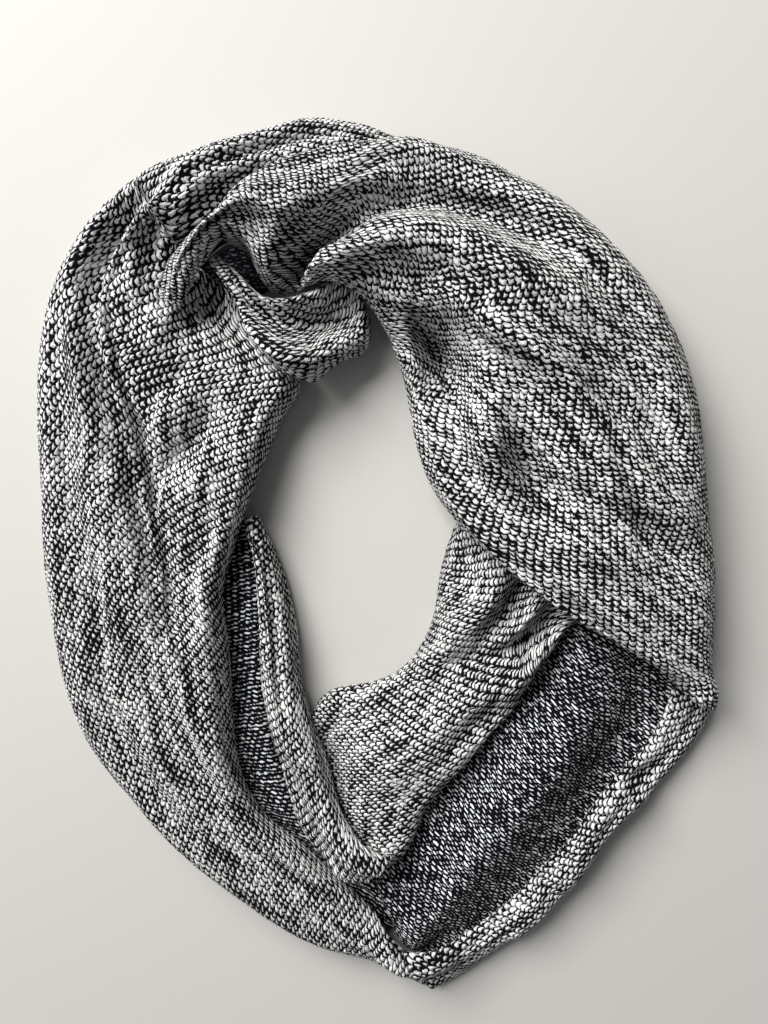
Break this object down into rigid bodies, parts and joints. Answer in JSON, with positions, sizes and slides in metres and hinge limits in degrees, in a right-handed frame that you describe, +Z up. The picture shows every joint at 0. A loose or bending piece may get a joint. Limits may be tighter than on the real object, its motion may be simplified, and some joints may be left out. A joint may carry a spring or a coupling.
{
  "type": "infinity scarf",
  "caption": "Infinity scarf of marled black and white stockinette knit, wound round twice and laid flat as a gathered oval ring with rolled edges.",
  "frame": {"origin": "Centre of the bounding box in X and Y, on the surface that the scarf lies on", "axes": "+Z up, away from the surface; +Y along the ring's longer side, towards the end where the scarf crosses over itself; +X to the right seen from above"},
  "size_m": [0.3402, 0.4486, 0.0602],
  "materials": {
    "upper_sweep_wool": "matte knitted wool, face side",
    "left_sweep_wool": "matte knitted wool, face side",
    "knot_lobe_wool": "matte knitted wool, face side",
    "lower_panel_wool": "matte knitted wool, face side",
    "inner_curl_wool": "matte knitted wool, face side",
    "lower_rim_wool": "matte knitted wool, face side",
    "reverse_panel_wool": "matte knitted wool, reverse side",
    "inner_fold_wool": "matte knitted wool, reverse side",
    "hidden_layers_wool": "matte knitted wool, layers under the visible ones"
  },
  "bodies": {
    "root": {"upper_sweep": "upper_sweep_wool", "left_sweep": "left_sweep_wool", "knot_lobe": "knot_lobe_wool", "lower_panel": "lower_panel_wool", "inner_curl": "inner_curl_wool", "lower_rim": "lower_rim_wool", "reverse_panel": "reverse_panel_wool", "inner_fold": "inner_fold_wool", "hidden_layers": "hidden_layers_wool"}
  },
  "joints": []
}
